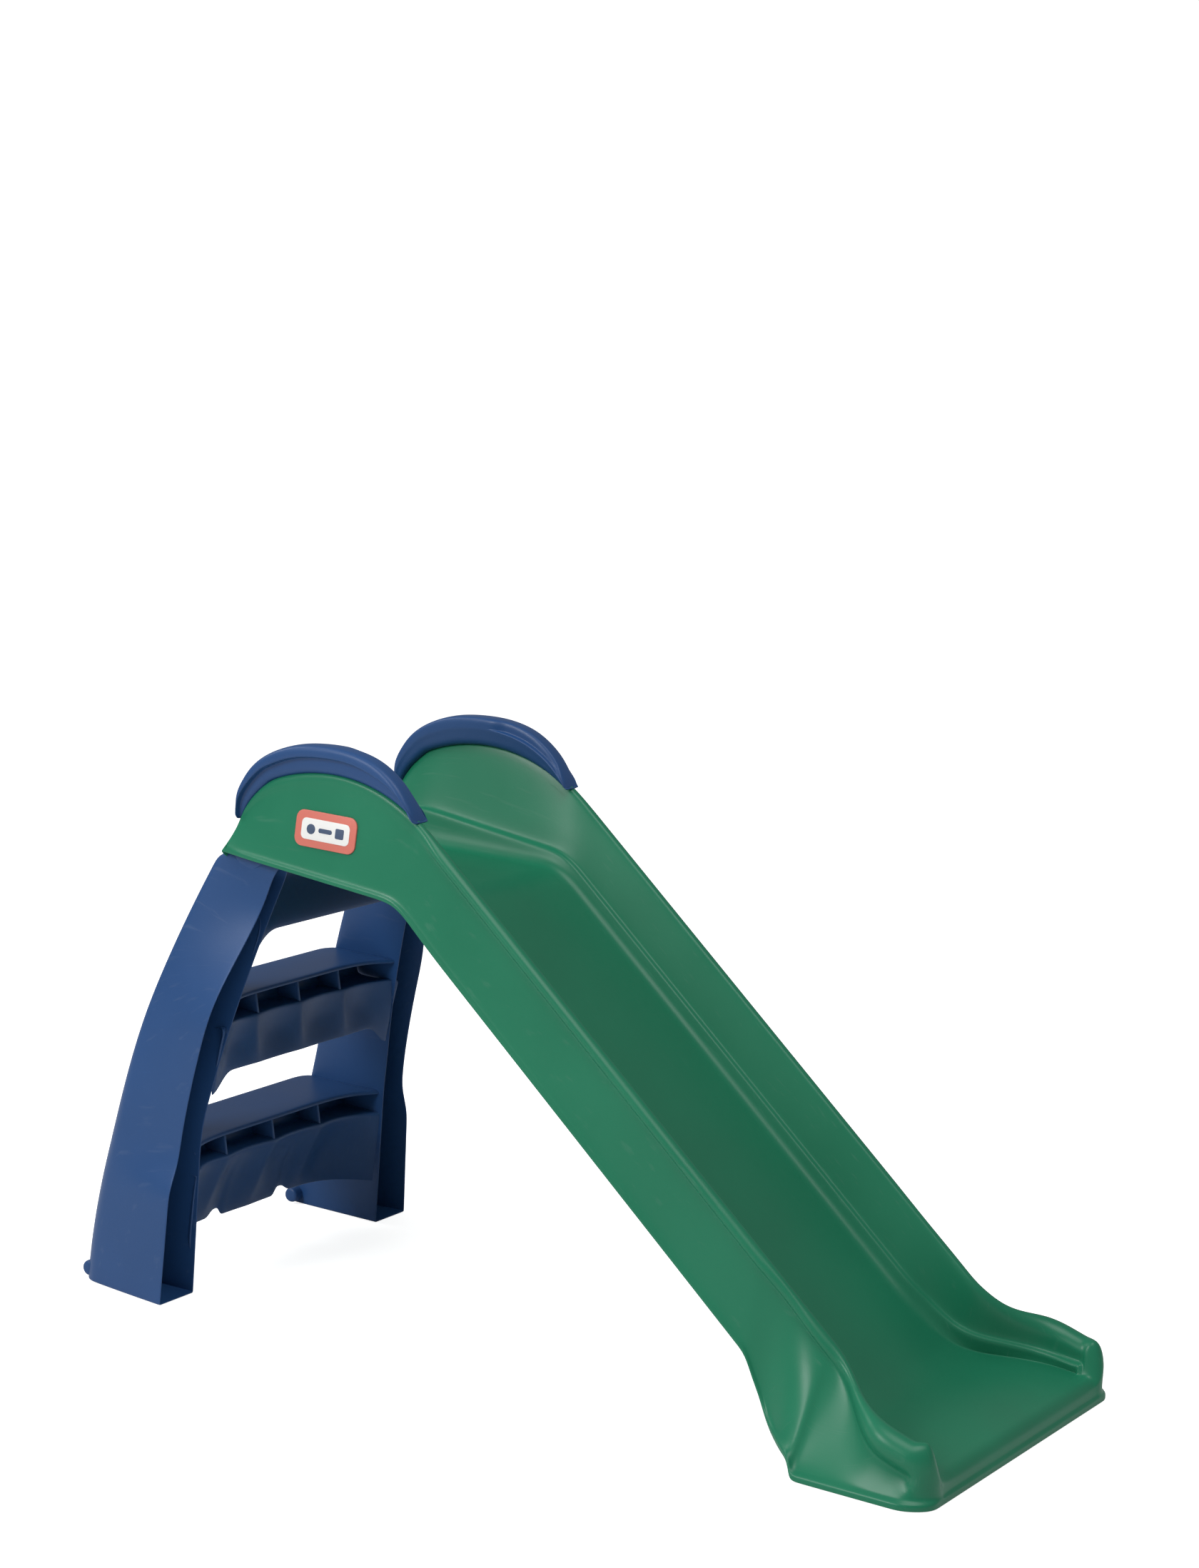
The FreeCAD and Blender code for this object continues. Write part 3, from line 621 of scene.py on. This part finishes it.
def make_tread(tread_z, name, nodes):
    half = rail_inner(tread_z) + 2.0
    front, rear = rail_front(tread_z) - 28.0, rail_back(tread_z) - 8.0
    rows = []
    for number in range(33):
        y = half * (1 - number / 16)
        sweep = (abs(y) / half) ** 6
        nose = front + (rail_front(tread_z) - 4.0 - front) * sweep
        tail = rear + 8.0 * ease(abs(y), half - 14.0, half)
        rows.append([Vector((x, y, z)) for x, z in (
            (tail + 0.6, tread_z - 15.0), (tail + 0.2, tread_z - 9.0), (tail, tread_z - 4.0),
            (tail + 1.2, tread_z - 1.0), (tail + 4.5, tread_z), (tail + 14.0, tread_z),
            ((tail + nose) / 2, tread_z), (nose - 14.0, tread_z), (nose - 4.0, tread_z),
            (nose - 1.0, tread_z - 0.7), (nose, tread_z - 2.6), (nose - 0.2, tread_z - 4.5))])
    bm = bmesh.new()
    draw_out(bm, rows)
    close_up(bm, upward=((front + rear) / 2, 0.0, tread_z))
    make_piece(bm, name, blue, "ladder", nodes, wall=3.6, levels=2)


def make_riser(tread_z, height, slant, name):
    """Pocket backs, scalloped ledge and fluted riser below a tread."""
    half = rail_inner(tread_z) + 2.0
    front = rail_front(tread_z) - 28.0
    ledge_z, low_z = tread_z - 24.0, tread_z - height
    deep = front - 26.0
    rows = []
    for number in range(65):
        y = half * (1 - number / 32)
        bulge = wave(y, half)
        sweep = (abs(y) / half) ** 6
        tab = 9.0 * (1 - ease(abs(y), 46.0, 51.0)) * slant
        tab += 7.0 * ease(abs(y), 60.0, 72.0) * slant
        drop = low_z - tab - 20.0 * ease(abs(y), half - 34.0, half) ** 1.5 * (1 - slant)
        wide = rail_inner((ledge_z + drop) / 2) + 2.0
        lip = front + 5.0 - 4.0 * bulge * (1 - sweep)
        lip += (rail_front(ledge_z) - 1.0 - lip) * sweep
        foot = -423.0 * slant + (rail_front(low_z) - 5.0) * (1 - slant)
        foot += (rail_front(low_z) - 4.0 - foot) * sweep
        flute = 7.0 * bulge * (1 - ease(abs(y), half - 30.0, half))
        points = [(deep, tread_z - 3.5), (deep, tread_z - 9.0), (deep + 0.3, ledge_z + 3.0),
                  (deep + 3.0, ledge_z), ((deep + lip) / 2, ledge_z), (lip - 3.0, ledge_z),
                  (lip - 0.5, ledge_z - 0.8), (lip, ledge_z - 3.0)]
        for share in (0.15, 0.4, 0.65, 0.9, 0.98, 1.0):
            z = ledge_z - 3.0 + (drop - ledge_z + 3.0) * share
            arc = math.sin(math.pi * min(1.0, share * 1.1)) if share < 0.9 else 0.15
            points.append((lip + (foot - lip) * share - flute * arc, z))
        rows.append([Vector((x, y * (wide if z < ledge_z else half) / half, z)) for x, z in points])
    bm = bmesh.new()
    draw_out(bm, rows)
    close_up(bm, upward=((deep + front) / 2, 0.0, ledge_z))
    make_piece(bm, name, blue, "ladder", levels=1, wall=skin)
    bm = bmesh.new()
    for number in range(1, pockets):
        y = half * (2 * number / pockets - 1)
        made = bmesh.ops.create_cube(bm, size=1.0)["verts"]
        for vert in made:
            z = tread_z - 2.0 if vert.co.z > 0 else ledge_z - 1.5
            x = deep + 1.0 if vert.co.x < 0 else (front - 2.0 if vert.co.z > 0 else front + 3.0)
            vert.co = Vector((x, y + vert.co.y * 3.2, z))
    close_up(bm)
    make_piece(bm, name + "_ribs", blue, "ladder", bevel=0.8)


for tread_z, height, slant, name in ((147.5, 95.0, 1.0, "lower"), (300.5, 75.0, 0.0, "upper")):
    make_tread(tread_z, "ladder_step_" + name, ["ladder_step_" + name])
    make_riser(tread_z, height, slant, "riser_" + name)

# ---- Crosspiece ----------------------------------------------------------------------
# The panel that ties the legs together under the platform, leaning back at the top and
# curving down into the legs at its ends.
bm = bmesh.new()
rows = []
for number in range(33):
    share = 1 - number / 16
    low = 374.0 - 22.0 * ease(abs(share), 0.72, 1.0) ** 1.5
    points = []
    for z in (low, low + 2.0, low + 8.0, (low + 425.0) / 2, 418.0, 423.0, 425.0):
        x = rail_front(z) - 9.0 - 37.0 * ease(z, 374.0, 425.0) * 0.9
        x += (rail_front(z) - 2.0 - x) * ease(abs(share), 0.80, 1.0) ** 2 * (1 - ease(z, 395.0, 425.0))
        points.append(Vector((x, share * (rail_inner(z) + 2.0), z)))
    points.append(points[-1] + Vector((-6.0, 0.0, 0.6)))
    points.append(Vector((rail_back(425.0) + 5.0, share * (rail_inner(425.0) + 2.0), 425.6)))
    rows.append(points)
draw_out(bm, rows)
close_up(bm)
front_face = min(bm.faces, key=lambda face: abs(face.calc_center_median().z - 395.0))
if front_face.normal.x < 0:
    bmesh.ops.reverse_faces(bm, faces=bm.faces)
make_piece(bm, "ladder_crosspiece", blue, "ladder", ["ladder_crosspiece"],
           wall=rail_wall, levels=2)

# ---- Floor, light and camera -----------------------------------------------------------
# A plain white sweep, a large soft light from the front left, one above and a weak one behind.
floor_mesh = bpy.data.meshes.new("floor")
bm = bmesh.new()
bmesh.ops.create_grid(bm, x_segments=2, y_segments=2, size=14.0)
bm.to_mesh(floor_mesh)
bm.free()
floor = bpy.data.objects.new("floor", floor_mesh)
floor.location = (0.0, 0.0, -0.0005)
bpy.context.scene.collection.objects.link(floor)
floor_paint = bpy.data.materials.new("white sweep")
floor_paint.use_nodes = True
paint = floor_paint.node_tree.nodes["Principled BSDF"]
paint.inputs["Base Color"].default_value = (0.86, 0.86, 0.86, 1.0)
paint.inputs["Roughness"].default_value = 0.9
paint.inputs["Specular IOR Level"].default_value = 0.1
paint.inputs["Emission Color"].default_value = (1.0, 1.0, 1.0, 1.0)
glow = floor_paint.node_tree.nodes.new("ShaderNodeMapRange")
glow.inputs["To Max"].default_value = 0.82
sight = floor_paint.node_tree.nodes.new("ShaderNodeLightPath")
floor_paint.node_tree.links.new(sight.outputs["Is Camera Ray"], glow.inputs["Value"])
floor_paint.node_tree.links.new(glow.outputs["Result"], paint.inputs["Emission Strength"])
floor_mesh.materials.append(floor_paint)

world = bpy.data.worlds.new("studio")
bpy.context.scene.world = world
world.use_nodes = True
sky = world.node_tree
sky.nodes["Background"].inputs["Color"].default_value = (1.0, 1.0, 1.0, 1.0)
seen = sky.nodes.new("ShaderNodeMapRange")
seen.inputs["To Min"].default_value = 0.26
seen.inputs["To Max"].default_value = 1.05
sky.links.new(sky.nodes.new("ShaderNodeLightPath").outputs["Is Camera Ray"], seen.inputs["Value"])
sky.links.new(seen.outputs["Result"], sky.nodes["Background"].inputs["Strength"])

for name, place, aim, size, power in (
        ("key", (-1.3, -3.0, 2.3), (0.0, 0.0, 0.25), 1.3, 74.0),
        ("back", (-2.5, -0.5, 2.2), (-0.3, 0.0, 0.2), 1.2, 20.0),
        ("top", (1.0, -0.6, 3.2), (0.1, 0.0, 0.2), 1.8, 46.0)):
    lamp = bpy.data.lights.new(name, "AREA")
    lamp.size = size
    lamp.energy = power
    light = bpy.data.objects.new(name, lamp)
    light.location = place
    light.rotation_mode = "QUATERNION"
    light.rotation_quaternion = (Vector(aim) - Vector(place)).to_track_quat("-Z", "Y")
    bpy.context.scene.collection.objects.link(light)

scene = bpy.context.scene
scene.view_settings.view_transform = "Standard"
lens = bpy.data.cameras.new("camera")
lens.lens = 84.047
lens.sensor_width = 36.0
lens.sensor_fit = "AUTO"
camera = bpy.data.objects.new("camera", lens)
azimuth, elevation, roll = math.radians(30.534), math.radians(10.303), math.radians(4.053)
behind = Vector((math.sin(azimuth) * math.cos(elevation), -math.cos(azimuth) * math.cos(elevation),
                 math.sin(elevation)))
right = Vector((math.cos(azimuth), math.sin(azimuth), 0.0))
upright = behind.cross(right)
turned_right = math.cos(roll) * right + math.sin(roll) * upright
turned_up = -math.sin(roll) * right + math.cos(roll) * upright
pose = Matrix((turned_right, turned_up, behind)).transposed().to_4x4()
pose.translation = Vector((1.75931, -3.03174, 1.19791))
camera.matrix_world = pose
scene.collection.objects.link(camera)
scene.camera = camera
